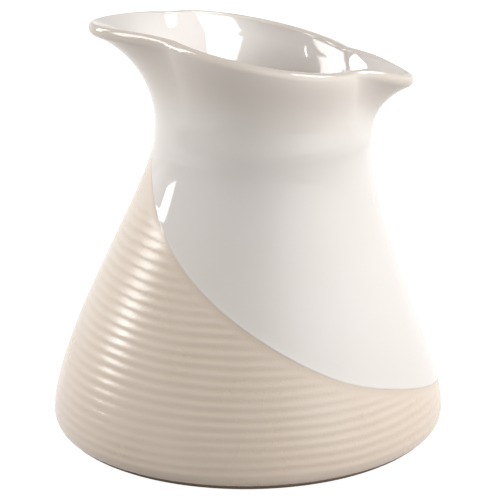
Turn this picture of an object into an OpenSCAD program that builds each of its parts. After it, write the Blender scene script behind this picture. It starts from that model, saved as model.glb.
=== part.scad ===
// Stoneware creamer: a leaning, round-bellied pot whose mouth is drawn out into a pouring spout
// on one side and a shorter lip on the other. The clay body carries three glaze coats: a ribbed
// sand coat below, a white coat dipped at a slant above, and a white lining.
// Millimetres, +Z up, origin on the table under the centre of the foot, pouring spout along -X.

/* [Belly] */
// Widest diameter of the finished body
belly_d = 100; // [84:1:120]
// Height of the widest point above the table
belly_z = 5.2; // [4:0.2:8]
// How far the rounded bottom edge comes in to the foot
bottom_round = 6; // [4:0.5:10]
// How long the wall stays upright above the belly
belly_pull = 15; // [10:0.5:20]
// Finished wall, clay and glaze together
wall_t = 5; // [4:0.1:6]
// Height of the inside floor above the table
floor_z = 6; // [5:0.25:8]
// Radius of the inside bottom corner
inside_round = 9; // [6:0.5:12]

/* [Foot] */
// Width of the flat ring that the pot stands on
foot_w = 6; // [4:0.5:9]
// Depth of the hollow inside the foot ring
foot_h = 1.4; // [0.8:0.1:2]
// Height of the bare clay band above the table
bare_foot = 2; // [0.6:0.1:2.4]

/* [Neck] */
// Narrowest diameter, under the mouth
neck_d = 54.5; // [46:0.5:62]
// Height of the narrowest point
neck_z = 76; // [70:1:82]
// How long the wall stays upright below the neck
neck_pull = 14.5; // [10:0.5:22]
// Height where the body starts to lean
lean_z = 22; // [14:1:34]
// Sideways shift of the neck away from the spout
neck_shift = 4; // [0:0.1:5]

/* [Mouth] */
// Diameter of the mouth between its two lips
mouth_d = 55.2; // [52:0.2:64]
// Sideways shift of the mouth away from the spout
mouth_shift = 2.7; // [0:0.1:5]
// Height where the wall ends, over the axis
rim_z = 99.2; // [95:0.1:106]
// Fall of the rim from the spout to the short lip, degrees
rim_fall = 9.8; // [4:0.1:13]
// Reach of the pouring spout past the round of the mouth
spout_reach = 12.6; // [8:0.1:18]
// Half width of the pouring spout, degrees round the mouth
spout_half = 41; // [28:1:50]
// Lean of the spout's wall where it ends, degrees from upright
spout_flare = 73; // [50:1:80]
// Height over the neck where the spout starts to leave the wall
spout_rise = 3; // [0:0.5:9]
// Drop of the spout's tip below the line of the rim
spout_drop = 3; // [0:0.25:5]
// Reach of the short lip
lip_reach = 10.1; // [6:0.1:16]
// Half width of the short lip, degrees round the mouth
lip_half = 31; // [28:0.5:50]
// Lean of the short lip's wall where it ends, degrees from upright
lip_flare = 54; // [40:1:70]
// Height over the neck where the short lip starts to leave the wall
lip_rise = 5; // [0:0.5:9]
// Drop of the short lip's tip below the line of the rim
lip_drop = 3.4; // [0:0.1:4]
// Rounding of both tips, degrees round the mouth
tip_round = 9.5; // [6:0.5:12]
// How far the wall draws in to a throat under the rim, between the spout and the lip
throat_in = 1.5; // [0:0.1:2]
// Finished wall at the rim, where it has thinned
rim_t = 3; // [2.6:0.1:3.6]
// Height below the rim over which the wall thins
rim_taper = 13; // [8:0.5:18]
// Rounding of the rim's inner edge; the outer edge takes the rest of the rim
rim_inner_round = 1; // [0.9:0.1:1.3]

/* [Glaze] */
// Thickness of the white coat and the lining
glaze_t = 0.6; // [0.4:0.05:0.8]
// Gap between the clay and a coat, and between two coats
bond_gap = 0.05; // [0.03:0.01:0.1]
// How far the sand coat lies below the white coat's face
sand_step = 0.15; // [0.05:0.05:0.2]
// Height of the dip line under the pouring spout
dip_high = 74.4; // [60:0.2:75]
// Height of the dip line where it bends
dip_bend_z = 23.4; // [18:0.2:30]
// Turn from the short lip to that bend, degrees round the pot
dip_bend = 58.5; // [45:0.5:75]
// Height of the dip line under the short lip
dip_low = 12.5; // [8:0.5:17]
// Rounding of the dip line at both ends and at the bend, degrees round the pot
dip_round = 10; // [6:1:16]

/* [Ribs] */
// Distance from one rib to the next
rib_pitch = 2.35; // [2:0.05:4]
// Depth of the groove between two ribs
rib_depth = 0.2; // [0.1:0.05:0.3]

/* [Hidden] */
CLAY = "#c9bda8";
SAND = "#d8ccb8";
WHITE = "#f4f1ec";
LINING = "#eeebe6";

belly_r = belly_d / 2;
neck_r = neck_d / 2;
mouth_r = mouth_d / 2;
foot_r = belly_r - bottom_round;
foot_in_r = foot_r - foot_w;
rim_outer_round = rim_t - rim_inner_round;

// Facets round the pot, drawn closer together at the two tips
sides = 60;
tip_crowd = 7;
turns = [for (j = [0:sides - 1]) let (f = 360 * j / sides) f - tip_crowd * sin(2 * f)];

// Stations up the wall: 0 to 1 is the bottom edge, 1 to 2 the belly up to the neck, 2 to 3 the mouth
edge_steps = 4;
wall_steps = 12;
mouth_steps = 8;
lip_steps = 4;
lean_power = 1.7;
edge_stations = [for (i = [0:edge_steps - 1]) i / edge_steps];
wall_stations = [for (i = [0:wall_steps - 1]) 1 + i / wall_steps];
mouth_stations = [for (i = [0:mouth_steps]) 2 + i / mouth_steps];
stations = concat(edge_stations, wall_stations, mouth_stations);

// Height of the wall curve from the belly (t = 0) to the neck (t = 1)
function wall_height(t) =
    let (u = 1 - t)
    belly_z * u * u * u + 3 * (belly_z + belly_pull) * u * u * t
    + 3 * (neck_z - neck_pull) * u * t * t + neck_z * t * t * t;

// Radius of the wall curve, upright at both ends
function wall_radius(t) = belly_r - (belly_r - neck_r) * t * t * (3 - 2 * t);

// Station at a height, found by halving the span
function station_at(z, low = 0, high = 1, left = 20) =
    let (mid = (low + high) / 2)
    left == 0 ? 1 + mid
    : wall_height(mid) < z ? station_at(z, mid, high, left - 1) : station_at(z, low, mid, left - 1);

// Sideways shift of the round sections up to the neck
function lean_shift(z) = neck_shift * pow(max(0, z - lean_z) / (neck_z - lean_z), lean_power);

// Shift above the neck: it keeps the lean's slope, then comes back to the mouth's own shift
lean_slope = neck_shift * lean_power / (neck_z - lean_z);
mouth_h = rim_z - neck_z;
function mouth_center(v) =
    neck_shift + lean_slope * mouth_h * v * (1 - v) + (mouth_shift - neck_shift) * v * v;

// Degrees from a direction
function off_degrees(th, to) = abs(((th - to + 540) % 360) - 180);

// A drawn-out tip: 1 in its own direction, 0 at the edge of its width
tip_power = 1.6;
function tip_shape(off, half) =
    pow(max(0, half - norm([off, tip_round])) / (half - tip_round), tip_power);

// Share of a lip's reach at v, an arc that starts at v0 and ends at the flare angle
function flare_share(v, v0, flare) =
    let (u = max(0, v - v0) / (1 - v0))
    (1 - cos(asin(sin(flare) * u))) / (1 - cos(flare));

function spout_at(th) = tip_shape(off_degrees(th, 180), spout_half);
function lip_at(th) = tip_shape(off_degrees(th, 0), lip_half);

// Height where the wall ends
function rim_end_z(th) =
    let (r = mouth_r + spout_reach * spout_at(th) + lip_reach * lip_at(th))
    rim_z - tan(rim_fall) * (mouth_shift + r * cos(th))
    - spout_drop * spout_at(th) - lip_drop * lip_at(th);

// Centre, radius and height of the finished outside at a turn and a station
function bottom_section(s) =
    let (a = 90 * s - 90)
    [0, belly_r - bottom_round * (1 - cos(a)), belly_z * (1 + sin(a))];

function wall_section(t) = [lean_shift(wall_height(t)), wall_radius(t), wall_height(t)];

function mouth_section(th, v) =
    let (spout = spout_reach * spout_at(th) * flare_share(v, spout_rise / mouth_h, spout_flare))
    let (lip = lip_reach * lip_at(th) * flare_share(v, lip_rise / mouth_h, lip_flare))
    let (throat = throat_in * 16 * pow(v * (1 - v), 2) * (1 - spout_at(th) - lip_at(th)))
    [mouth_center(v), neck_r + (mouth_r - neck_r) * v * v - throat + spout + lip,
     neck_z + (rim_end_z(th) - neck_z) * v];

function section(th, s) =
    s < 1 ? bottom_section(s) : s < 2 ? wall_section(s - 1) : mouth_section(th, s - 2);

// Finished outside as points
function outside(th, s) =
    let (c = section(th, s))
    [c[0] + c[1] * cos(th), c[1] * sin(th), c[2]];

// Directions of that face: up the wall, and square out of it
nudge_turn = 0.5;
nudge_station = 0.004;
function unit(v) = v / norm(v);
function up_wall(th, s) =
    unit(outside(th, min(3, s + nudge_station)) - outside(th, max(0, s - nudge_station)));
function out_of_wall(th, s) =
    unit(cross(outside(th + nudge_turn, s) - outside(th - nudge_turn, s), up_wall(th, s)));

// A point some depth under the finished outside
function under(th, s, depth) = outside(th, s) - depth * out_of_wall(th, s);

// Finished wall at a station: it thins towards the rim, so that the inside opens like a funnel
function wall_at(s) = wall_t - (wall_t - rim_t) * pow(max(0, 1 - (3 - s) * mouth_h / rim_taper), 2);

// A point round the rounded end of the wall: 0 on its outside, 90 on its crest, 180 on its inside
function round_end(th, angle, depth) =
    let (n = out_of_wall(th, 3), up = up_wall(th, 3))
    let (edge_round = angle < 90 ? rim_outer_round : rim_inner_round)
    under(th, 3, rim_outer_round) + (rim_outer_round - edge_round) * up
    + (edge_round - depth) * (n * cos(angle) + up * sin(angle));

// Inside: the wall down to the bottom corner, the corner's arc, then the floor
corner_z = floor_z + inside_round;
corner_s = station_at(corner_z);
inner_steps = 8;
corner_steps = 4;
inner_stations = concat(
    [for (i = [mouth_steps - 1:-1:1]) 2 + i / mouth_steps],
    [for (i = [inner_steps:-1:0]) corner_s + (2 - corner_s) * i / inner_steps]);

// Cover is what lies on the face: none on the finished one
function inside_column(th, cover) =
    let (start = under(th, corner_s, wall_t - cover))
    let (r = norm([start.x, start.y]), arc = inside_round + cover)
    concat(
        [round_end(th, 180, cover) - bond_gap * up_wall(th, 3)],
        [for (s = inner_stations) under(th, s, wall_at(s) - cover)],
        [for (i = [1:corner_steps]) let (a = 90 * i / corner_steps, q = r - arc * (1 - cos(a)))
            [q * cos(th), q * sin(th), start.z - (start.z - floor_z + cover) * sin(a)]]);

// Height of the dip line at a turn of the pot: one slope up to the bend, a steeper one past it
low_slope = (dip_bend_z - dip_low) / (dip_bend - dip_round);
high_slope = (dip_high - dip_bend_z) / (180 - dip_round - dip_bend);
function dip_height(th) =
    let (off = off_degrees(th, 0))
    let (run = norm([off, dip_round]) - norm([180 - off, dip_round]) + 180 - off)
    let (past_bend = (run - dip_bend + norm([run - dip_bend, dip_round])) / 2)
    dip_low + low_slope * (run - dip_round) + (high_slope - low_slope) * past_bend;
dips = [for (th = turns) station_at(dip_height(th))];

// Stations on the bottom edge where the clay steps in under the sand coat, and where the coat starts
function edge_station(z) = 1 + asin(z / belly_z - 1) / 90;
clay_step = edge_station(bare_foot);
coat_start = edge_station(bare_foot + bond_gap);

// Ribs: two stations each, a crest and a groove, as [station, depth]
rib_count = floor((neck_z - belly_z) / rib_pitch);
rib_stations = [for (i = [0:rib_count - 1]) each [
    [station_at(belly_z + i * rib_pitch), sand_step],
    [station_at(belly_z + (i + 0.5) * rib_pitch), sand_step + rib_depth]]];
coat_stations = [for (s = stations) if (s > coat_start && s < 2) s];
coat_edge = [for (s = coat_stations) if (s < 1) [s, sand_step]];
sand_face = concat([[coat_start, sand_step]], coat_edge, rib_stations);
sand_back = concat([coat_start], coat_stations);

// Gap between the two coats at the dip line, and the shortest step kept beside it, in stations
dip_gap = bond_gap / (neck_z - belly_z);
least_step = 0.006;

// Triangles between two neighbouring columns of point numbers, leaving out the empty ones
function strip(a, b, closed) =
    let (count = len(a), last = closed ? count - 1 : count - 2)
    [for (k = [0:last]) let (n = (k + 1) % count)
        each [for (f = [[a[k], a[n], b[n]], [a[k], b[n], b[k]]])
            if (f[0] != f[1] && f[1] != f[2] && f[0] != f[2]) f]];

// Solid between columns that run from one point on the axis to another
module pole_solid(columns, first_pole, last_pole) {
    size = len(columns[0]);
    first = sides * size;
    ids = [for (j = [0:sides - 1]) [for (k = [0:size - 1]) j * size + k]];
    polyhedron(
        points = concat([for (c = columns) each c], [first_pole, last_pole]),
        faces = [for (j = [0:sides - 1]) let (a = ids[j], b = ids[(j + 1) % sides])
            each concat(strip(a, b, false), [[first, a[0], b[0]], [a[size - 1], first + 1, b[size - 1]]])],
        convexity = 8);
}

// Solid between closed columns; each has points and the numbers of those that it uses
module ring_solid(columns, uses) {
    size = len(columns[0]);
    ids = [for (j = [0:sides - 1]) [for (k = uses[j]) j * size + k]];
    polyhedron(
        points = [for (c = columns) each c],
        faces = [for (j = [0:sides - 1]) each strip(ids[j], ids[(j + 1) % sides], true)],
        convexity = 8);
}

// Clay: one thrown and drawn-out shell with a hollowed foot
module stoneware_body() {
    columns = [for (th = turns) concat(
        [for (s = stations) if (s < clay_step) outside(th, s)],
        [outside(th, clay_step), under(th, clay_step, glaze_t)],
        [for (s = stations) if (s > clay_step) under(th, s, glaze_t)],
        [for (i = [1:lip_steps - 1]) round_end(th, 180 * i / lip_steps, glaze_t)],
        inside_column(th, glaze_t))];
    color(CLAY)
    difference() {
        pole_solid(columns, [0, 0, 0], [0, 0, floor_z - glaze_t]);
        translate([0, 0, -foot_h])
            cylinder(r = foot_in_r, h = 2 * foot_h, $fn = sides);
    }
}

// Sand coat: ribbed, from just above the foot up to the dip line
module sand_glaze() {
    face_n = len(sand_face);
    back_n = len(sand_back);
    columns = [for (j = [0:sides - 1]) let (th = turns[j], e = dips[j])
        concat(
            [for (p = sand_face) under(th, p[0], p[1])],
            [under(th, e - dip_gap, sand_step), under(th, e - dip_gap, glaze_t - bond_gap)],
            [for (s = sand_back) under(th, s, glaze_t - bond_gap)])];
    uses = [for (e = dips) concat(
        [for (k = [0:face_n - 1]) sand_face[k][0] < e - least_step ? k : face_n],
        [face_n, face_n + 1],
        [for (k = [back_n - 1:-1:0]) sand_back[k] < e - least_step ? face_n + 2 + k : face_n + 1])];
    color(SAND)
    ring_solid(columns, uses);
}

// White coat: from the dip line up the outside and over the rounded end of the wall
module white_glaze() {
    up = [for (s = stations) if (s >= 1) s];
    count = len(up);
    columns = [for (j = [0:sides - 1]) let (th = turns[j], e = dips[j])
        concat(
            [under(th, e, 0)],
            [for (s = up) under(th, s, 0)],
            [for (i = [1:lip_steps]) round_end(th, 180 * i / lip_steps, 0)],
            [for (i = [lip_steps:-1:1]) round_end(th, 180 * i / lip_steps, glaze_t - bond_gap)],
            [for (i = [count - 1:-1:0]) under(th, up[i], glaze_t - bond_gap)],
            [under(th, e, glaze_t - bond_gap)])];
    top = count + 1;
    last = 2 * top + 2 * lip_steps - 1;
    uses = [for (e = dips) concat(
        [0],
        [for (k = [0:count - 1]) up[k] > e + least_step ? k + 1 : 0],
        [for (k = [top:top + 2 * lip_steps - 1]) k],
        [for (i = [count - 1:-1:0]) up[i] > e + least_step ? last - 1 - i : last],
        [last])];
    color(WHITE)
    ring_solid(columns, uses);
}

// White lining: the inside wall below the rounded end, the bottom corner and the floor
module lining_glaze() {
    columns = [for (th = turns) concat(
        [let (c = inside_column(th, glaze_t - bond_gap)) for (k = [len(c) - 1:-1:0]) c[k]],
        inside_column(th, 0))];
    color(LINING)
    pole_solid(columns, [0, 0, floor_z - glaze_t + bond_gap], [0, 0, floor_z]);
}

stoneware_body();
sand_glaze();
white_glaze();
lining_glaze();
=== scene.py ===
"""Stoneware creamer: a leaning pot thrown round, its mouth drawn out into a spout and a short lip,
with a ribbed sand glaze below a slanted white dip glaze and a white lining."""

import functools
import math

import bmesh
import bpy
from bpy.props import FloatProperty, FloatVectorProperty, IntProperty, PointerProperty
from bpy.types import Operator, Panel, PropertyGroup
from mathutils import Matrix, Vector, noise


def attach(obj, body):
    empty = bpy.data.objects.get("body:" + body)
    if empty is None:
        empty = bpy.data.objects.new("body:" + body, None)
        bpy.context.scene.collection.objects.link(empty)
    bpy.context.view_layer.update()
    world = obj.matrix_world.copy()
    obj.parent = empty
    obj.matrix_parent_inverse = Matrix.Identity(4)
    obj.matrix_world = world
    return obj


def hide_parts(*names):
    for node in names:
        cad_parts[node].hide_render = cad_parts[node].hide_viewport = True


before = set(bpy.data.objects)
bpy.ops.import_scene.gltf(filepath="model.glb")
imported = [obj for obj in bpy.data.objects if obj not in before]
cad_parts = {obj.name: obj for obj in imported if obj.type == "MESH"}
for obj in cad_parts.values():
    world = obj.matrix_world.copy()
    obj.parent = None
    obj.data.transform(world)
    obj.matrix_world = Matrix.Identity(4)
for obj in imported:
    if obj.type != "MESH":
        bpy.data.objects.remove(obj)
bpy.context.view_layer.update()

bl_info = {
    "name": "Stoneware Creamer",
    "version": (1, 0, 0),
    "blender": (4, 5, 0),
    "location": "View3D > Sidebar > Creamer",
    "description": "Dresses a dip-glazed stoneware creamer and its studio stage",
    "category": "Object",
}

MM = 0.001
BODY = "root"
PHOTO_SIDE = 500
MIDDLE_MM = (0.75, 0, 46.3)
SHARP = math.radians(38)
MERGE = 0.01 * MM

# Stations of a run round the wall, from the foot over the rim to the middle of the inside floor
FOOT, BELLY, NECK, RIM_OUT, RIM_IN, CORNER, FLOOR, CENTRE = range(8)


def linear(code):
    """Linear colour of an sRGB hex value such as #f4f1ec."""
    parts = [int(code[i:i + 2], 16) / 255 for i in (1, 3, 5)]
    return tuple(c / 12.92 if c <= 0.04045 else ((c + 0.055) / 1.055) ** 2.4 for c in parts)


def length(name, text, mm):
    """A length setting, given in millimetres."""
    return FloatProperty(name=name, description=text, default=mm * MM, unit="LENGTH", precision=5)


def angle(name, text, degrees):
    """An angle setting, given in degrees."""
    return FloatProperty(name=name, description=text, default=math.radians(degrees), subtype="ANGLE")


def colour(name, text, code):
    """A colour setting, given as an sRGB hex value."""
    return FloatVectorProperty(name=name, description=text, default=linear(code), subtype="COLOR", size=3)


class CreamerForm(PropertyGroup):
    """Sizes of the finished pot."""
    belly_d: length("Belly diameter", "Widest diameter of the finished body", 100)
    belly_z: length("Belly height", "Height of the widest point", 5.2)
    bottom_round: length("Bottom edge", "How far the bottom edge comes in to the foot", 6)
    belly_pull: length("Belly pull", "How long the wall stays upright above the belly", 15)
    wall_t: length("Wall", "Clay and glaze together", 5)
    floor_z: length("Inside floor", "Height of the inside floor", 6)
    inside_round: length("Inside corner", "Radius of the inside bottom corner", 9)
    foot_w: length("Foot ring", "Width of the flat ring that the pot stands on", 6)
    foot_h: length("Foot hollow", "Depth of the hollow inside the foot ring", 1.4)
    bare_foot: length("Bare clay", "Height of the bare clay band", 2)
    neck_d: length("Neck diameter", "Narrowest diameter, under the mouth", 54.5)
    neck_z: length("Neck height", "Height of the narrowest point", 76)
    neck_pull: length("Neck pull", "How long the wall stays upright below the neck", 14.5)
    lean_z: length("Lean start", "Height where the body starts to lean", 22)
    neck_shift: length("Neck shift", "Sideways shift of the neck", 4)
    mouth_d: length("Mouth diameter", "Diameter of the mouth between its lips", 55.2)
    mouth_shift: length("Mouth shift", "Sideways shift of the mouth", 2.7)
    rim_z: length("Rim height", "Height where the wall ends, over the axis", 99.2)
    rim_fall: angle("Rim fall", "Fall of the rim from the spout to the short lip", 9.8)
    spout_reach: length("Spout reach", "Reach of the spout past the round mouth", 12.6)
    spout_half: angle("Spout half width", "Half width of the spout round the mouth", 41)
    spout_flare: angle("Spout flare", "Lean of the spout's wall where it ends", 73)
    spout_rise: length("Spout start", "Height over the neck where the spout leaves the wall", 3)
    spout_drop: length("Spout drop", "Drop of the spout's tip below the rim", 3)
    lip_reach: length("Lip reach", "Reach of the short lip", 10.1)
    lip_half: angle("Lip half width", "Half width of the short lip round the mouth", 31)
    lip_flare: angle("Lip flare", "Lean of the short lip's wall where it ends", 54)
    lip_rise: length("Lip start", "Height over the neck where the short lip leaves the wall", 5)
    lip_drop: length("Lip drop", "Drop of the short lip's tip below the rim", 3.4)
    tip_round: angle("Tip rounding", "Rounding of both tips round the mouth", 9.5)
    throat_in: length("Throat", "How far the wall draws in under the rim, between spout and lip", 1.5)
    rim_t: length("Rim", "Finished wall at the rim, where it has thinned", 3)
    rim_taper: length("Rim taper", "Height below the rim over which the wall thins", 13)
    rim_inner_round: length("Rim inner edge", "Rounding of the rim's inner edge", 1)
    facets: IntProperty(name="Facets", description="Facets round the pot", default=240, min=48)


class CreamerGlaze(PropertyGroup):
    """Thickness, lines and colours of the three coats and of the bare clay."""
    coat_t: length("Coat", "Thickness of the white coat and the lining", 0.6)
    bond_gap: length("Bond", "Gap between the clay and a coat", 0.05)
    sand_step: length("Sand step", "How far the sand coat lies below the white coat's face", 0.15)
    sand_edge: length("Sand edge", "How far the sand coat lies below that face at the dip line", 0.03)
    dip_high: length("Dip high", "Height of the dip line under the spout", 74.4)
    dip_bend_z: length("Dip bend height", "Height of the dip line where it bends", 23.4)
    dip_bend: angle("Dip bend", "Turn from the short lip to that bend", 58.5)
    dip_low: length("Dip low", "Height of the dip line under the short lip", 12.5)
    dip_round: angle("Dip rounding", "Rounding of the dip line at both ends and at the bend", 10)
    rib_pitch: length("Rib spacing", "Distance from one rib to the next", 2.35)
    rib_depth: length("Rib depth", "Depth of the groove between two ribs", 0.14)
    rib_top: length("Rib top", "Height where the ribs have died away", 64)
    bead_w: length("Bead width", "Height of the white coat's rounded edge", 1.1)
    bead_h: length("Bead", "How far the white coat's edge stands proud", 0.05)
    white: colour("White glaze", "Gloss white glaze", "#f3ede8")
    # Painted shade too: this warmer, darker white is laid up the neck, where shade falls under the mouth
    white_thin_and_shade: colour("White glaze, thin", "White glaze where the clay warms it", "#e4d8cb")
    sand: colour("Sand glaze", "Sand glaze on the crests", "#f1e1d1")
    sand_deep: colour("Sand glaze, deep", "Sand glaze in the grooves", "#e2cfba")
    clay: colour("Bare clay", "Fired clay at the foot", "#aa9481")
    clay_speck: colour("Clay speck", "Dark grains in the clay", "#8a7460")


class CreamerStage(PropertyGroup):
    """Camera, floor and lights."""
    distance: length("Camera distance", "From the camera to the point that it looks at", 650)
    elevation: angle("Camera elevation", "Height of the camera above level", 18.14)
    roll: angle("Camera roll", "Tilt of the frame", -0.39)
    target: FloatVectorProperty(
        name="Camera target", description="Point that the camera looks at",
        default=[along * MM for along in MIDDLE_MM], unit="LENGTH", size=3)
    focal_px: FloatProperty(
        name="Focal length", description="In pixels of a square frame", default=2562.9)
    floor_side: length("Floor", "Side of the floor", 6000)
    floor: colour("Floor", "Pale matt table", "#928f8c")
    floor_light: colour("Floor light", "Colour of the light through the table", "#ffffff")
    floor_glow: FloatProperty(
        name="Floor glow", description="Light that comes up through the table", default=0.98)
    floor_spill: FloatProperty(
        name="Floor spill", description="Light of the table that falls on the pot", default=0.4)
    back_glow: FloatProperty(
        name="Back light", description="Pale wall behind the table", default=1.0)


def values_of(group):
    """Settings of a property group as plain values."""
    return {key: getattr(group, key) for key in type(group).__annotations__}


def steps(first, last, count):
    """Evenly spaced values, both ends included."""
    return [first + (last - first) * i / count for i in range(count + 1)]


def smooth(low, high, value):
    """0 below low, 1 above high, and an even turn between them."""
    t = min(1, max(0, (value - low) / (high - low)))
    return t * t * (3 - 2 * t)


class Pot:
    """Finished faces of the pot. A run goes once round the wall: FOOT to BELLY is the bottom edge, BELLY to
    NECK the body, NECK to RIM_OUT the mouth, RIM_OUT to RIM_IN the rounded rim, RIM_IN to CORNER the inside
    wall, CORNER to FLOOR the inside corner and FLOOR to CENTRE the inside floor. Depth is measured into the
    wall."""

    LEAN_POWER = 1.7
    TIP_POWER = 1.6
    TIP_CROWD = math.radians(7)
    NUDGE_TURN = math.radians(0.5)
    NUDGE_RUN = 0.004
    RIM_RUN = 0.125
    HALVINGS = 24

    def __init__(self, form, glaze):
        self.__dict__.update(values_of(form))
        self.__dict__.update(values_of(glaze))
        self.belly_r = self.belly_d / 2
        self.neck_r = self.neck_d / 2
        self.mouth_r = self.mouth_d / 2
        self.foot_r = self.belly_r - self.bottom_round
        self.mouth_h = self.rim_z - self.neck_z
        self.lean_slope = self.neck_shift * self.LEAN_POWER / (self.neck_z - self.lean_z)
        self.corner_run = self.run_at(self.floor_z + self.inside_round)
        self.rim_outer_round = self.rim_t - self.rim_inner_round
        self.low_slope = (self.dip_bend_z - self.dip_low) / (self.dip_bend - self.dip_round)
        self.high_slope = (self.dip_high - self.dip_bend_z) / (math.pi - self.dip_round - self.dip_bend)

    def wall_height(self, t):
        """Height of the body's wall at a share of its run."""
        u = 1 - t
        low = u * u * (self.belly_z * u + 3 * (self.belly_z + self.belly_pull) * t)
        return low + t * t * (3 * (self.neck_z - self.neck_pull) * u + self.neck_z * t)

    def run_at(self, z):
        """Run of the outside wall at a height between the belly and the neck."""
        low, high = 0, 1
        for _ in range(self.HALVINGS):
            mid = (low + high) / 2
            if self.wall_height(mid) < z:
                low = mid
            else:
                high = mid
        return BELLY + (low + high) / 2

    def edge_run(self, z):
        """Run of the bottom edge at a height below the belly."""
        return BELLY + math.asin(z / self.belly_z - 1) / (math.pi / 2)

    def tip_shape(self, off, half):
        """Share of a tip at a turn away from its middle."""
        left = half - math.hypot(off, self.tip_round)
        return (max(0, left) / (half - self.tip_round)) ** self.TIP_POWER

    def tips(self, turn):
        """Share of the spout and of the short lip at a turn of the pot."""
        off = abs(math.remainder(turn, 2 * math.pi))
        return self.tip_shape(math.pi - off, self.spout_half), self.tip_shape(off, self.lip_half)

    def flare_share(self, v, start, flare):
        """Share of a tip's reach at a height of the mouth: an arc that leans out to the flare."""
        u = max(0, v - start) / (1 - start)
        return (1 - math.sqrt(1 - (math.sin(flare) * u) ** 2)) / (1 - math.cos(flare))

    def dip_height(self, turn):
        """Height of the dip line: one slope up to the bend, and a steeper one past it."""
        off = abs(math.remainder(turn, 2 * math.pi))
        run = math.hypot(off, self.dip_round) - math.hypot(math.pi - off, self.dip_round) + math.pi - off
        past_bend = (run - self.dip_bend + math.hypot(run - self.dip_bend, self.dip_round)) / 2
        line = self.dip_low + self.low_slope * (run - self.dip_round)
        return line + (self.high_slope - self.low_slope) * past_bend

    @functools.cache
    def round_section(self, run):
        """Sideways shift, radius and height of the outside below the mouth, where the pot is round."""
        if run < BELLY:
            a = (run - BELLY) * math.pi / 2
            return 0, self.belly_r - self.bottom_round * (1 - math.cos(a)), self.belly_z * (1 + math.sin(a))
        t = run - BELLY
        z = self.wall_height(t)
        lean = max(0, z - self.lean_z) / (self.neck_z - self.lean_z)
        r = self.belly_r - (self.belly_r - self.neck_r) * t * t * (3 - 2 * t)
        return self.neck_shift * lean ** self.LEAN_POWER, r, z

    def section(self, turn, run):
        """Sideways shift, radius and height of the outside."""
        if run < NECK:
            return self.round_section(run)
        v = run - NECK
        spout, lip = self.tips(turn)
        rim_r = self.mouth_r + self.spout_reach * spout + self.lip_reach * lip
        rim_z = self.rim_z - math.tan(self.rim_fall) * (self.mouth_shift + rim_r * math.cos(turn))
        rim_z -= self.spout_drop * spout + self.lip_drop * lip
        shift = self.neck_shift + self.lean_slope * self.mouth_h * v * (1 - v)
        shift += (self.mouth_shift - self.neck_shift) * v * v
        r = self.neck_r + (self.mouth_r - self.neck_r) * v * v
        bow = (4 * v * (1 - v)) ** 2
        r -= self.throat_in * bow * (1 - spout - lip)
        spout_out = self.flare_share(v, self.spout_rise / self.mouth_h, self.spout_flare)
        lip_out = self.flare_share(v, self.lip_rise / self.mouth_h, self.lip_flare)
        r += self.spout_reach * spout * spout_out
        r += self.lip_reach * lip * lip_out
        return shift, r, self.neck_z + (rim_z - self.neck_z) * v

    def outside(self, turn, run):
        """Point of the outside."""
        shift, r, z = self.section(turn, run)
        return Vector((shift + r * math.cos(turn), r * math.sin(turn), z))

    def directions(self, turn, run):
        """Up the wall, and square out of it."""
        above = min(RIM_OUT, run + self.NUDGE_RUN)
        below = max(FOOT, run - self.NUDGE_RUN)
        up = self.outside(turn, above) - self.outside(turn, below)
        side = self.outside(turn + self.NUDGE_TURN, run) - self.outside(turn - self.NUDGE_TURN, run)
        return up.normalized(), side.cross(up).normalized()

    def wall_at(self, run):
        """Finished wall at a run of the outside. It thins to the rim, so the inside opens like a funnel."""
        near = max(0, 1 - (RIM_OUT - run) * self.mouth_h / self.rim_taper)
        return self.wall_t - (self.wall_t - self.rim_t) * near ** 2

    def skin(self, turn, run, depth):
        """Point under the finished face at a turn and a run."""
        if run <= RIM_OUT:
            return self.outside(turn, run) - depth * self.directions(turn, run)[1]
        if run <= RIM_IN:
            up, out = self.directions(turn, RIM_OUT)
            a = (run - RIM_OUT) * math.pi
            edge = self.rim_outer_round if a < math.pi / 2 else self.rim_inner_round
            lift = self.rim_outer_round - edge
            middle = self.outside(turn, RIM_OUT) - self.rim_outer_round * out + lift * up
            return middle + (edge - depth) * (math.cos(a) * out + math.sin(a) * up)
        if run <= CORNER:
            outer = RIM_OUT + (run - RIM_IN) * (self.corner_run - RIM_OUT)
            up, out = self.directions(turn, outer)
            lift = self.rim_outer_round - self.rim_inner_round
            lift *= max(0, 1 - (RIM_OUT - outer) / self.RIM_RUN)
            return self.outside(turn, outer) - (self.wall_at(outer) - depth) * out + lift * up
        start = self.skin(turn, CORNER, depth)
        r = math.hypot(start.x, start.y)
        arc = self.inside_round + depth
        a = min(1, run - CORNER) * math.pi / 2
        r -= arc * (1 - math.cos(a))
        z = start.z - (start.z - self.floor_z + depth) * math.sin(a)
        r *= 1 - max(0, run - FLOOR)
        return Vector((r * math.cos(turn), r * math.sin(turn), z))

    def crowded(self, turn):
        """Turn with the facets drawn closer together at the two tips."""
        return turn - self.TIP_CROWD * math.sin(2 * turn)


def spun(pot, rows, closed, measures=()):
    """Mesh of a profile spun once round the pot's axis. Each row of the profile is a run and a depth, and
    measures are further values of a vertex, which a material reads."""
    bm = bmesh.new()
    layers = {key: bm.verts.layers.float.new(key) for key in ("run", "depth", *measures)}
    profile = []
    for place, (run, depth) in enumerate(rows):
        reach = 0 if run == CENTRE else pot.belly_r
        vert = bm.verts.new((reach, 0, place * MM))
        vert[layers["run"]] = run
        vert[layers["depth"]] = depth
        profile.append(vert)
    ends = profile[1:] + profile[:1] if closed else profile[1:]
    edges = [bm.edges.new(pair) for pair in zip(profile, ends)]
    bmesh.ops.spin(
        bm, geom=profile + edges, cent=(0, 0, 0), axis=(0, 0, 1), angle=2 * math.pi,
        steps=pot.facets, use_merge=True)
    bmesh.ops.remove_doubles(bm, verts=bm.verts, dist=MERGE)
    return bm, layers


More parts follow.
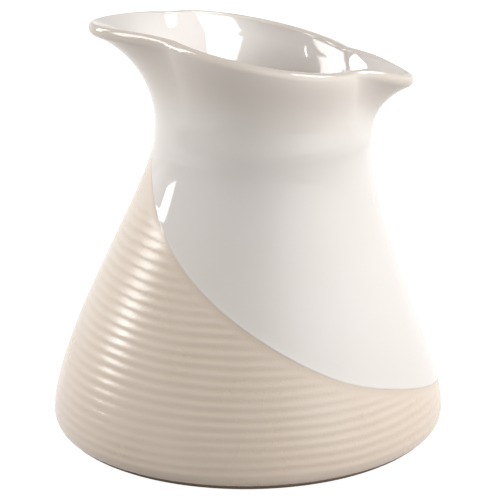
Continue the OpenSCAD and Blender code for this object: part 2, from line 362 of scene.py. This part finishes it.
def turn_of(pot, vert):
    """Turn of the pot that a spun vertex stands for."""
    return pot.crowded(math.atan2(vert.co.y, vert.co.x))


def finished(bm, name, material, node):
    """Make the object of a finished mesh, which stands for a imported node."""
    for key in ("run", "depth"):
        layer = bm.verts.layers.float.get(key)
        if layer:
            bm.verts.layers.float.remove(layer)
    bmesh.ops.recalc_face_normals(bm, faces=bm.faces)
    for edge in bm.edges:
        edge.smooth = edge.calc_face_angle(0) < SHARP
    for face in bm.faces:
        face.smooth = True
    mesh = bpy.data.meshes.new(name)
    bm.to_mesh(mesh)
    bm.free()
    mesh.materials.append(material)
    piece = bpy.data.objects.new(name, mesh)
    bpy.context.scene.collection.objects.link(piece)
    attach(piece, BODY)
    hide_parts(node)


def add_node(tree, kind, inputs=None, **settings):
    """Node with its settings made, and its sockets set or linked."""
    made = tree.nodes.new(kind)
    for key, value in settings.items():
        setattr(made, key, value)
    for key, value in (inputs or {}).items():
        if isinstance(value, bpy.types.NodeSocket):
            tree.links.new(value, made.inputs[key])
        else:
            made.inputs[key].default_value = value
    return made


def new_material(name):
    """Empty node material and its tree."""
    material = bpy.data.materials.new(name)
    material.use_nodes = True
    material.node_tree.nodes.clear()
    return material, material.node_tree


def direction(turn, height):
    """Unit vector at a turn round the pot and a height above level."""
    flat = math.cos(height)
    return Vector((flat * math.cos(turn), flat * math.sin(turn), math.sin(height)))


def opaque(rgb):
    """Colour with a full alpha."""
    return (*rgb, 1)


# Gloss white glaze, dipped and fired: a glassy face over a soft white, a little cloudy from its own
# thickness, warmed by the clay where it thins at its edge and rim, with painted shade up the neck
def white_glaze_material(glaze):
    cloud_width = 26 * MM
    cloud_share = 0.14
    peel_width = 3 * MM
    peel_depth = 0.02 * MM
    glossiest = 0.05
    dullest = 0.09
    material, tree = new_material("gloss white glaze")
    place = add_node(tree, "ShaderNodeTexCoord").outputs["Object"]
    cloud = add_node(tree, "ShaderNodeTexNoise", {"Vector": place, "Scale": 1 / cloud_width, "Detail": 3})
    # Where the glaze thins at edge and rim, and the painted shade up the neck
    thin = add_node(tree, "ShaderNodeAttribute", attribute_name="thin")
    clouded = add_node(tree, "ShaderNodeMapRange", {
        "Value": cloud.outputs["Fac"], "From Min": 0.35, "From Max": 0.75, "To Min": 0,
        "To Max": cloud_share})
    thinned_and_shaded = add_node(tree, "ShaderNodeMath", {
        0: thin.outputs["Fac"], 1: clouded.outputs["Result"]}, operation="ADD", use_clamp=True)
    tint = add_node(tree, "ShaderNodeMix", {
        "Factor": thinned_and_shaded.outputs[0], "A": opaque(glaze.white), "B": opaque(glaze.white_thin_and_shade)},
        data_type="RGBA")
    peel = add_node(tree, "ShaderNodeTexNoise", {"Vector": place, "Scale": 1 / peel_width, "Detail": 1})
    relief = add_node(tree, "ShaderNodeBump", {
        "Strength": 0.12, "Distance": peel_depth, "Height": peel.outputs["Fac"]})
    gloss = add_node(tree, "ShaderNodeMapRange", {
        "Value": cloud.outputs["Fac"], "From Min": 0.3, "From Max": 0.7, "To Min": glossiest,
        "To Max": dullest})
    shader = add_node(tree, "ShaderNodeBsdfPrincipled", {
        "Base Color": tint.outputs["Result"], "Roughness": gloss.outputs["Result"],
        "IOR": 1.53, "Normal": relief.outputs["Normal"]})
    add_node(tree, "ShaderNodeOutputMaterial", {"Surface": shader.outputs["BSDF"]})
    return material


# Semi-gloss sand glaze over turned ribs: paler where it lies thinly on the crests, deeper where it pools in
# the grooves and deeper below the white coat, with a satin sheen that fine pits break up
def sand_glaze_material(glaze):
    cloud_width = 14 * MM
    cloud_share = 0.3
    pit_width = 0.55 * MM
    pit_depth = 0.05 * MM
    glossiest = 0.2
    dullest = 0.3
    material, tree = new_material("semi-gloss sand glaze")
    place = add_node(tree, "ShaderNodeTexCoord").outputs["Object"]
    cloud = add_node(tree, "ShaderNodeTexNoise", {"Vector": place, "Scale": 1 / cloud_width, "Detail": 4})
    groove = add_node(tree, "ShaderNodeAttribute", attribute_name="groove")
    deepened = add_node(tree, "ShaderNodeMapRange", {
        "Value": cloud.outputs["Fac"], "From Min": 0.3, "From Max": 0.7, "To Min": 0,
        "To Max": cloud_share})
    deep = add_node(tree, "ShaderNodeMath", {
        0: groove.outputs["Fac"], 1: deepened.outputs["Result"]}, operation="ADD", use_clamp=True)
    tint = add_node(tree, "ShaderNodeMix", {
        "Factor": deep.outputs[0], "A": opaque(glaze.sand), "B": opaque(glaze.sand_deep)},
        data_type="RGBA")
    pits = add_node(tree, "ShaderNodeTexNoise", {"Vector": place, "Scale": 1 / pit_width, "Detail": 1})
    relief = add_node(tree, "ShaderNodeBump", {
        "Strength": 0.8, "Distance": pit_depth, "Height": pits.outputs["Fac"]})
    gloss = add_node(tree, "ShaderNodeMapRange", {
        "Value": cloud.outputs["Fac"], "From Min": 0.3, "From Max": 0.7, "To Min": glossiest,
        "To Max": dullest})
    shader = add_node(tree, "ShaderNodeBsdfPrincipled", {
        "Base Color": tint.outputs["Result"], "Roughness": gloss.outputs["Result"],
        "IOR": 1.5, "Normal": relief.outputs["Normal"]})
    add_node(tree, "ShaderNodeOutputMaterial", {"Surface": shader.outputs["BSDF"]})
    return material


# Bare fired stoneware: dry and matt, with fine dark grains
def bare_clay_material(glaze):
    grain_width = 0.7 * MM
    grain_depth = 0.08 * MM
    material, tree = new_material("bare stoneware")
    place = add_node(tree, "ShaderNodeTexCoord").outputs["Object"]
    grain = add_node(tree, "ShaderNodeTexNoise", {"Vector": place, "Scale": 1 / grain_width, "Detail": 3})
    specks = add_node(tree, "ShaderNodeMapRange", {
        "Value": grain.outputs["Fac"], "From Min": 0.52, "From Max": 0.72, "To Min": 0, "To Max": 1})
    tint = add_node(tree, "ShaderNodeMix", {
        "Factor": specks.outputs["Result"], "A": opaque(glaze.clay), "B": opaque(glaze.clay_speck)},
        data_type="RGBA")
    relief = add_node(tree, "ShaderNodeBump", {
        "Strength": 0.5, "Distance": grain_depth, "Height": grain.outputs["Fac"]})
    shader = add_node(tree, "ShaderNodeBsdfPrincipled", {
        "Base Color": tint.outputs["Result"], "Roughness": 0.9, "Specular IOR Level": 0.1,
        "Normal": relief.outputs["Normal"]})
    add_node(tree, "ShaderNodeOutputMaterial", {"Surface": shader.outputs["BSDF"]})
    return material


# Matt acrylic table lit from below: white to the eye, in the gloss white beside and behind the pot and dark
# in front of it, while only the light from beside the pot falls on it
def floor_material(stage):
    side_weight = 0.55
    mirrored_front = -600 * MM
    mirrored_back = 100 * MM
    mirrored_share = 0.95
    spill_near = 40 * MM
    spill_far = 200 * MM
    material, tree = new_material("lit acrylic table")
    path = add_node(tree, "ShaderNodeLightPath")
    place = add_node(tree, "ShaderNodeTexCoord").outputs["Object"]
    parts = add_node(tree, "ShaderNodeSeparateXYZ", {"Vector": place})
    aside = add_node(tree, "ShaderNodeMath", {0: parts.outputs["X"]}, operation="ABSOLUTE")
    back = add_node(tree, "ShaderNodeMath", {
        0: aside.outputs[0], 1: side_weight, 2: parts.outputs["Y"]}, operation="MULTIPLY_ADD")
    behind = add_node(tree, "ShaderNodeMapRange", {
        "Value": back.outputs[0], "From Min": mirrored_front, "From Max": mirrored_back, "To Min": 0,
        "To Max": mirrored_share}, interpolation_type="SMOOTHSTEP")
    mirrored = add_node(tree, "ShaderNodeMath", {
        0: path.outputs["Is Glossy Ray"], 1: behind.outputs["Result"]}, operation="MULTIPLY")
    seen = add_node(tree, "ShaderNodeMath", {
        0: path.outputs["Is Camera Ray"], 1: mirrored.outputs[0]}, operation="MAXIMUM")
    beside = add_node(tree, "ShaderNodeMapRange", {
        "Value": aside.outputs[0], "From Min": spill_near, "From Max": spill_far, "To Min": 0,
        "To Max": stage.floor_spill})
    spilt = add_node(tree, "ShaderNodeMath", {
        0: path.outputs["Is Diffuse Ray"], 1: beside.outputs["Result"]}, operation="MULTIPLY")
    glow = add_node(tree, "ShaderNodeMath", {
        0: seen.outputs[0], 1: stage.floor_glow, 2: spilt.outputs[0]}, operation="MULTIPLY_ADD")
    shader = add_node(tree, "ShaderNodeBsdfPrincipled", {
        "Base Color": opaque(stage.floor), "Roughness": 0.9, "Specular IOR Level": 0.2,
        "Emission Color": opaque(stage.floor_light), "Emission Strength": glow.outputs[0]})
    add_node(tree, "ShaderNodeOutputMaterial", {"Surface": shader.outputs["BSDF"]})
    return material


def pot_of(context):
    """The pot with the scene's sizes."""
    return Pot(context.scene.creamer_form, context.scene.creamer_glaze)


class CREAMER_OT_clay_body(Operator):
    """Throw the clay shell, draw out its mouth and hollow its foot"""
    bl_idname = "creamer.clay_body"
    bl_label = "Clay body"

    BAND_DEPTH = 0.3 * MM
    BAND_ROWS = 6
    # Rows of the mesh from a station to the next
    ROWS = ((BELLY, 24), (NECK, 16), (RIM_OUT, 8), (RIM_IN, 30), (CORNER, 6))
    FOOT_BEVEL = 0.5 * MM
    STEEP = math.radians(60)

    def execute(self, context):
        pot = pot_of(context)
        band = pot.edge_run(pot.bare_foot)
        rows = [(run, self.BAND_DEPTH * run / band) for run in steps(FOOT, band, self.BAND_ROWS)]
        rows += [(run, pot.coat_t) for run in steps(band, BELLY, self.BAND_ROWS)]
        for station, count in self.ROWS:
            rows += [(run, pot.coat_t) for run in steps(station, station + 1, count)[1:]]
        rows.append((CENTRE, pot.coat_t))
        bm, layers = spun(pot, rows, closed=False)
        for vert in bm.verts:
            vert.co = pot.skin(turn_of(pot, vert), vert[layers["run"]], vert[layers["depth"]])
        self.hollow_foot(bm, pot)
        material = bare_clay_material(context.scene.creamer_glaze)
        finished(bm, "clay_body", material, "stoneware_body")
        return {"FINISHED"}

    def hollow_foot(self, bm, pot):
        """Close the bottom, leave a flat ring and raise the middle."""
        rim = [edge for edge in bm.edges if edge.is_boundary]
        bottom = bmesh.ops.contextual_create(bm, geom=rim)["faces"]
        bmesh.ops.inset_region(bm, faces=bottom, thickness=pot.foot_w, use_even_offset=True)
        raised = bmesh.ops.extrude_face_region(bm, geom=bottom)["geom"]
        bmesh.ops.delete(bm, geom=bottom, context="FACES_ONLY")
        roof = [item for item in raised if isinstance(item, bmesh.types.BMVert)]
        bmesh.ops.translate(bm, verts=roof, vec=(0, 0, pot.foot_h))
        sharp = [edge for edge in bm.edges if edge.calc_face_angle(0) > self.STEEP]
        low = [edge for edge in sharp if max(v.co.z for v in edge.verts) < pot.foot_h + MM]
        inner = [edge for edge in low if edge.verts[0].co.xy.length < pot.foot_r - pot.foot_w / 2]
        bmesh.ops.bevel(
            bm, geom=inner, offset=self.FOOT_BEVEL, offset_type="OFFSET", affect="EDGES", segments=3,
            profile=0.5, material=-1)


class CREAMER_OT_sand_coat(Operator):
    """Lay the ribbed sand coat on the lower outside, up to the dip line"""
    bl_idname = "creamer.sand_coat"
    bl_label = "Sand coat"

    ROWS_PER_RIB = 8
    EDGE_ROWS = 14
    BACK_ROWS = (6, 40)
    LEVEL_CUT = -0.02 * MM
    CUT_SLACK = 0.001 * MM
    # The lower edge of the coat rolls in over a height, by a share of its thickness
    ROLL = 0.7 * MM
    ROLL_SHARE = 0.8
    # Ribs wander up and down by shares of their spacing, in long and in short waves, and vary in depth
    WAVE = 30 * MM
    LONG_WANDER = 0.22
    LONG_WAVES = 1.6
    SHORT_WANDER = 0.06
    SHORT_WAVES = 7
    DEPTH_SHARE = 0.82
    DEPTH_VARIES = 0.3
    DEPTH_WAVES = 3.1
    # Ribs die away between two distances below the dip line, two heights over the foot, and below their top
    DIP_FADE = (0.6 * MM, 4.5 * MM)
    FOOT_FADE = (2.5 * MM, 7 * MM)
    TOP_FADE = 8 * MM
    # Glaze pools in the grooves; over a height below the white coat the sand is tinted deeper
    DIP_BAND = 1.6 * MM
    GROOVE_POOL = 0.4
    DIP_DEEPEN = 0.45

    def execute(self, context):
        pot = pot_of(context)
        start = pot.edge_run(pot.bare_foot + pot.bond_gap)
        count = math.ceil((pot.neck_z - pot.belly_z) / pot.rib_pitch * self.ROWS_PER_RIB)
        heights = steps(pot.belly_z, pot.neck_z, count)
        face = steps(start, BELLY, self.EDGE_ROWS) + [pot.run_at(z) for z in heights[1:]]
        low_rows, high_rows = self.BACK_ROWS
        back = steps(start, BELLY, low_rows) + steps(BELLY, NECK, high_rows)[1:]
        # Until the coat is laid, the depth only tells the face, 0, from the back, 1
        rows = [(run, 0) for run in face] + [(run, 1) for run in reversed(back)]
        bm, layers = spun(pot, rows, closed=True, measures=("groove",))
        self.cut_at_dip(bm, layers, pot)
        for vert in bm.verts:
            turn = turn_of(pot, vert)
            run = vert[layers["run"]]
            if vert[layers["depth"]] > 0.5:
                vert.co = pot.skin(turn, run, pot.coat_t - pot.bond_gap)
                continue
            # The groove measure also holds the deeper tint below the white coat
            depth, groove = self.ribbed(pot, turn, run)
            vert[layers["groove"]] = groove
            vert.co = pot.skin(turn, run, depth)
        material = sand_glaze_material(context.scene.creamer_glaze)
        finished(bm, "sand_coat", material, "sand_glaze")
        return {"FINISHED"}

    def cut_at_dip(self, bm, layers, pot):
        """Flatten the dip line to one level, cut there, and close the cut between face and back."""
        for vert in bm.verts:
            turn = math.atan2(vert.co.y, vert.co.x)
            reach = pot.belly_r - vert[layers["depth"]] * MM
            level = pot.section(turn, vert[layers["run"]])[2] - pot.dip_height(pot.crowded(turn))
            vert.co = (reach * math.cos(turn), reach * math.sin(turn), level)
        everything = bm.verts[:] + bm.edges[:] + bm.faces[:]
        bmesh.ops.bisect_plane(
            bm, geom=everything, dist=self.CUT_SLACK, plane_co=(0, 0, self.LEVEL_CUT),
            plane_no=(0, 0, 1), clear_outer=True)
        rim = [edge for edge in bm.edges if edge.is_boundary]
        bmesh.ops.bridge_loops(bm, edges=rim)

    def ribbed(self, pot, turn, run):
        """Depth of the ribbed face, and how deep the sand's tint is, in the groove and below the white coat.
        """
        z = pot.section(turn, run)[2]
        around = Vector((math.cos(turn), math.sin(turn), z / self.WAVE))
        wander = self.LONG_WANDER * noise.noise(around * self.LONG_WAVES)
        wander += self.SHORT_WANDER * noise.noise(around * self.SHORT_WAVES)
        phase = 2 * math.pi * ((z - pot.belly_z) / pot.rib_pitch + wander)
        below_dip = pot.dip_height(turn) - z
        fade = smooth(*self.DIP_FADE, below_dip)
        fade *= smooth(*self.FOOT_FADE, z)
        fade *= 1 - smooth(pot.rib_top - self.TOP_FADE, pot.rib_top, z)
        fade *= self.DEPTH_SHARE + self.DEPTH_VARIES * noise.noise(around * self.DEPTH_WAVES)
        groove = (0.5 - 0.5 * math.cos(phase)) * fade
        rolled = max(0, 1 - (z - pot.bare_foot) / self.ROLL)
        roll = (pot.coat_t - pot.sand_step) * self.ROLL_SHARE * (1 - math.sqrt(1 - rolled * rolled))
        near = 1 - smooth(0, self.DIP_BAND, below_dip)
        step = pot.sand_step + (pot.sand_edge - pot.sand_step) * near
        deepened = self.GROOVE_POOL * groove + self.DIP_DEEPEN * near
        return step + pot.rib_depth * groove + roll, min(1, deepened)


class CREAMER_OT_white_coat(Operator):
    """Lay the white coat from the dip line up the outside and over the rim"""
    bl_idname = "creamer.white_coat"
    bl_label = "White coat"

    # Places of the edge's rows across the bead, and how many rows follow in each third of the coat
    EDGE_ROWS = (0, 0.03, 0.07, 0.12, 0.18, 0.26, 0.36, 0.5, 0.7, 1)
    FACE_ROWS = (44, 40, 20)
    BACK_ROWS = (16, 20, 10)
    TUCK = 0.03 * MM
    CREST = 0.36
    UPPER_RUN = 2.4
    # Where the clay shows through at the edge and rim, and the painted shade up the neck: share, and the
    # places along the coat between which it comes or goes
    EDGE_THIN = (0.35, 0, 0.2)
    # Painted shade: the warm, darker white up the neck under the mouth
    NECK_PAINTED_SHADE = (0.5, 1.6, 2.7)
    RIM_THIN = (0.3, 2.93, 3.3)
    INNER_END = (3.6, 4)

    def execute(self, context):
        pot = pot_of(context)
        face = list(self.EDGE_ROWS)
        back = [0, 1]
        for third, (face_rows, back_rows) in enumerate(zip(self.FACE_ROWS, self.BACK_ROWS), 1):
            face += steps(third, third + 1, face_rows)[1:]
            back += steps(third, third + 1, back_rows)[1:]
        inside = pot.coat_t - pot.bond_gap
        rows = [(run, 0) for run in face] + [(run, inside) for run in reversed(back)]
        bm, layers = spun(pot, rows, closed=True, measures=("thin",))
        for vert in bm.verts:
            turn = turn_of(pot, vert)
            along = vert[layers["run"]]
            depth = vert[layers["depth"]]
            if depth == 0 and along < 1:
                depth = self.beaded(pot, along)
            # Where the glaze thins at edge and rim, and the painted shade up the neck
            vert[layers["thin"]] = self.thinness_and_shade(along)
            vert.co = pot.skin(turn, self.run_of(pot, turn, along), depth)
        material = white_glaze_material(context.scene.creamer_glaze)
        finished(bm, "white_coat", material, "white_glaze")
        return {"FINISHED"}

    def run_of(self, pot, turn, along):
        """Run of a row. Along the coat, 0 to 1 lies beside the dip line, 1 to 2 goes on past the neck,
        2 to 3 to the rim, and 3 to 4 over it, where the row is the run itself."""
        if along >= RIM_OUT:
            return along
        if along >= 2:
            return self.UPPER_RUN + (along - 2) * (RIM_OUT - self.UPPER_RUN)
        dip = pot.dip_height(turn)
        if along <= 1:
            return pot.run_at(dip + along * pot.bead_w)
        start = pot.run_at(dip + pot.bead_w)
        return start + (along - 1) * (self.UPPER_RUN - start)

    def beaded(self, pot, along):
        """Depth of the rounded edge: up from the sand coat to a low bead, then level."""
        if along < self.CREST:
            rise = math.sin(along / self.CREST * math.pi / 2)
            low = pot.sand_edge + self.TUCK
            return low - (low + pot.bead_h) * rise
        return -pot.bead_h * (1 - smooth(self.CREST, 1, along))

    def thinness_and_shade(self, along):
        """How much the clay shows through at the dip edge and on the rim, and the painted shade up the neck.
        """
        edge_share, *edge_span = self.EDGE_THIN
        neck_shade_share, *neck_shade_span = self.NECK_PAINTED_SHADE
        rim_share, *rim_span = self.RIM_THIN
        edge = edge_share * (1 - smooth(*edge_span, along))
        upper = neck_shade_share * smooth(*neck_shade_span, along) + rim_share * smooth(*rim_span, along)
        return edge + upper * (1 - smooth(*self.INNER_END, along))


class CREAMER_OT_lining(Operator):
    """Lay the white lining on the inside wall, the corner and the floor"""
    bl_idname = "creamer.lining"
    bl_label = "Lining"

    # Rows of the wall, the corner and the floor, on the face and on the back
    FACE_ROWS = (70, 12, 4)
    BACK_ROWS = (24, 6, 1)

    def execute(self, context):
        pot = pot_of(context)
        down = [RIM_IN]
        back = [RIM_IN]
        for station, face_rows, back_rows in zip((RIM_IN, CORNER, FLOOR), self.FACE_ROWS, self.BACK_ROWS):
            down += steps(station, station + 1, face_rows)[1:]
            back += steps(station, station + 1, back_rows)[1:]
        inside = pot.coat_t - pot.bond_gap
        rows = [(run, 0) for run in reversed(down)] + [(run, inside) for run in back]
        bm, layers = spun(pot, rows, closed=False, measures=("thin",))
        for vert in bm.verts:
            vert.co = pot.skin(turn_of(pot, vert), vert[layers["run"]], vert[layers["depth"]])
        material = bpy.data.materials["gloss white glaze"]
        finished(bm, "lining", material, "lining_glaze")
        return {"FINISHED"}


class CREAMER_OT_stage(Operator):
    """Set up the camera, the pale floor and the soft studio light"""
    bl_idname = "creamer.stage"
    bl_label = "Stage"

    # Points that a light faces (mm): the pot's middle, the inside wall beside the short lip, the short lip,
    # and the rim beside the spout
    MIDDLE = MIDDLE_MM
    NICHE = (22, 13, 92)
    LIP = (27.5, 7.5, 92)
    RIM = (-20, -16, 104)
    # Name, point that it faces, turn and height of the light from there (degrees), distance, width and
    # height of the light (mm), spread (degrees), power (watts), and the one piece whose gloss alone shows it
    LIGHTS = (
        ("left_strip", MIDDLE, 172.5, 24, 1000, 180, 560, 180, 3.4, None),
        ("mouth_window", MIDDLE, -29, 18, 1000, 810, 860, 180, 20, "lining"),
        ("niche_card", NICHE, 166.5, 5.3, 20.7, 10.4, 11.8, 180, 0.0036, "lining"),
        ("lip_card", LIP, 199, 32, 40, 15, 30, 32, 0.013, "lining"),
        ("rim_card", RIM, 188, 44, 60, 17, 56, 180, 0.027, "white_coat"),
        ("rim_glint", MIDDLE, 20, 50, 1000, 420, 350, 180, 3.7, "white_coat"),
        ("rib_strip", MIDDLE, 169, 24, 1000, 420, 560, 180, 1.8, "sand_coat"),
        ("rib_sheen", MIDDLE, -25, 36, 1000, 500, 300, 180, 1.9, "sand_coat"),
    )
    # Soft light from a side: turn and height of its middle (degrees), cosine where it starts, strength
    GLOWS = (
        (-20, 30, 0.5, 1.4),
        (-28, 16, 0, 0.66),
        (165, 10, 0, 0.6),
    )
    # The pale wall behind: how far a direction points back where the wall starts and is full, and how far
    # up where it starts to end and has ended
    WALL_BACK = (0.1, 0.6)
    WALL_UP = (0.15, 0.6)
    SENSOR_MM = 36
    NEAR_CLIP = 10 * MM

    def execute(self, context):
        stage = context.scene.creamer_stage
        self.make_camera(context, stage)
        self.make_floor(context, stage)
        for row in self.LIGHTS:
            self.make_light(context, *row)
        self.make_world(context, stage)
        context.scene.view_settings.view_transform = "Standard"
        return {"FINISHED"}

    def make_camera(self, context, stage):
        lens = bpy.data.cameras.new("camera")
        lens.sensor_width = self.SENSOR_MM
        lens.lens = lens.sensor_width * stage.focal_px / PHOTO_SIDE
        lens.clip_start = self.NEAR_CLIP
        camera = bpy.data.objects.new("camera", lens)
        ahead = Vector((0, math.cos(stage.elevation), -math.sin(stage.elevation)))
        right = Vector((1, 0, 0))
        up = right.cross(ahead)
        tilted_right = math.cos(stage.roll) * right + math.sin(stage.roll) * up
        tilted_up = tilted_right.cross(ahead)
        axes = Matrix((tilted_right, tilted_up, -ahead)).transposed()
        place = Vector(stage.target) - stage.distance * ahead
        camera.matrix_world = Matrix.Translation(place) @ axes.to_4x4()
        context.scene.collection.objects.link(camera)
        context.scene.camera = camera

    def make_floor(self, context, stage):
        bm = bmesh.new()
        bmesh.ops.create_grid(bm, x_segments=1, y_segments=1, size=stage.floor_side / 2)
        mesh = bpy.data.meshes.new("floor")
        bm.to_mesh(mesh)
        bm.free()
        mesh.materials.append(floor_material(stage))
        floor = bpy.data.objects.new("floor", mesh)
        context.scene.collection.objects.link(floor)

    def make_light(self, context, name, point, turn, height, distance, wide, tall, spread, power, only):
        lamp = bpy.data.lights.new(name, "AREA")
        lamp.shape = "RECTANGLE"
        lamp.size = wide * MM
        lamp.size_y = tall * MM
        lamp.spread = math.radians(spread)
        lamp.energy = power
        light = bpy.data.objects.new(name, lamp)
        toward = direction(math.radians(turn), math.radians(height))
        light.location = (Vector(point) + distance * toward) * MM
        light.rotation_euler = (-toward).to_track_quat("-Z", "Y").to_euler()
        light.visible_camera = False
        context.scene.collection.objects.link(light)
        if only:
            light.visible_diffuse = False
            light.light_linking.receiver_collection = self.group(name + " falls on", only)

    def group(self, name, member):
        """Collection of one object, for the light that is linked to it."""
        made = bpy.data.collections.new(name)
        made.objects.link(bpy.data.objects[member])
        return made

    def make_world(self, context, stage):
        world = bpy.data.worlds.new("studio")
        world.use_nodes = True
        tree = world.node_tree
        tree.nodes.clear()
        seen = add_node(tree, "ShaderNodeLightPath").outputs["Is Camera Ray"]
        toward = add_node(tree, "ShaderNodeTexCoord").outputs["Generated"]
        parts = add_node(tree, "ShaderNodeSeparateXYZ", {"Vector": toward})
        back_start, back_full = self.WALL_BACK
        behind = add_node(tree, "ShaderNodeMapRange", {
            "Value": parts.outputs["Y"], "From Min": back_start, "From Max": back_full, "To Min": 0,
            "To Max": stage.back_glow}, interpolation_type="SMOOTHSTEP")
        up_start, up_end = self.WALL_UP
        low = add_node(tree, "ShaderNodeMapRange", {
            "Value": parts.outputs["Z"], "From Min": up_start, "From Max": up_end, "To Min": 1,
            "To Max": 0}, interpolation_type="SMOOTHSTEP")
        total = add_node(tree, "ShaderNodeMath", {
            0: behind.outputs["Result"], 1: low.outputs["Result"]}, operation="MULTIPLY")
        for turn, height, start, strength in self.GLOWS:
            middle = direction(math.radians(turn), math.radians(height))
            facing = add_node(tree, "ShaderNodeVectorMath", {0: toward, 1: middle}, operation="DOT_PRODUCT")
            glow = add_node(tree, "ShaderNodeMapRange", {
                "Value": facing.outputs["Value"], "From Min": start, "From Max": 1, "To Min": 0,
                "To Max": strength}, interpolation_type="SMOOTHSTEP")
            total = add_node(tree, "ShaderNodeMath", {
                0: total.outputs[0], 1: glow.outputs["Result"]}, operation="ADD")
        level = add_node(tree, "ShaderNodeMix", {"Factor": seen, "A": total.outputs[0], "B": 1.0})
        shader = add_node(tree, "ShaderNodeBackground", {
            "Color": (1, 1, 1, 1), "Strength": level.outputs["Result"]})
        add_node(tree, "ShaderNodeOutputWorld", {"Surface": shader.outputs[0]})
        context.scene.world = world


class CREAMER_PT_sidebar(Panel):
    """Settings and steps of the creamer"""
    bl_idname = "CREAMER_PT_sidebar"
    bl_label = "Creamer"
    bl_space_type = "VIEW_3D"
    bl_region_type = "UI"
    bl_category = "Creamer"

    def draw(self, context):
        scene = context.scene
        for group in (scene.creamer_form, scene.creamer_glaze, scene.creamer_stage):
            column = self.layout.box().column()
            for key in type(group).__annotations__:
                column.prop(group, key)
        for step in STEPS:
            self.layout.operator(step.bl_idname)


GROUPS = (CreamerForm, CreamerGlaze, CreamerStage)
STEPS = (
    CREAMER_OT_clay_body,
    CREAMER_OT_sand_coat,
    CREAMER_OT_white_coat,
    CREAMER_OT_lining,
    CREAMER_OT_stage,
)
CLASSES = (*GROUPS, *STEPS, CREAMER_PT_sidebar)


def register():
    for cls in CLASSES:
        bpy.utils.register_class(cls)
    bpy.types.Scene.creamer_form = PointerProperty(type=CreamerForm)
    bpy.types.Scene.creamer_glaze = PointerProperty(type=CreamerGlaze)
    bpy.types.Scene.creamer_stage = PointerProperty(type=CreamerStage)


def unregister():
    del bpy.types.Scene.creamer_stage
    del bpy.types.Scene.creamer_glaze
    del bpy.types.Scene.creamer_form
    for cls in reversed(CLASSES):
        bpy.utils.unregister_class(cls)


def main():
    register()
    bpy.ops.creamer.clay_body()
    bpy.ops.creamer.sand_coat()
    bpy.ops.creamer.white_coat()
    bpy.ops.creamer.lining()
    bpy.ops.creamer.stage()


if __name__ == "__main__":
    main()
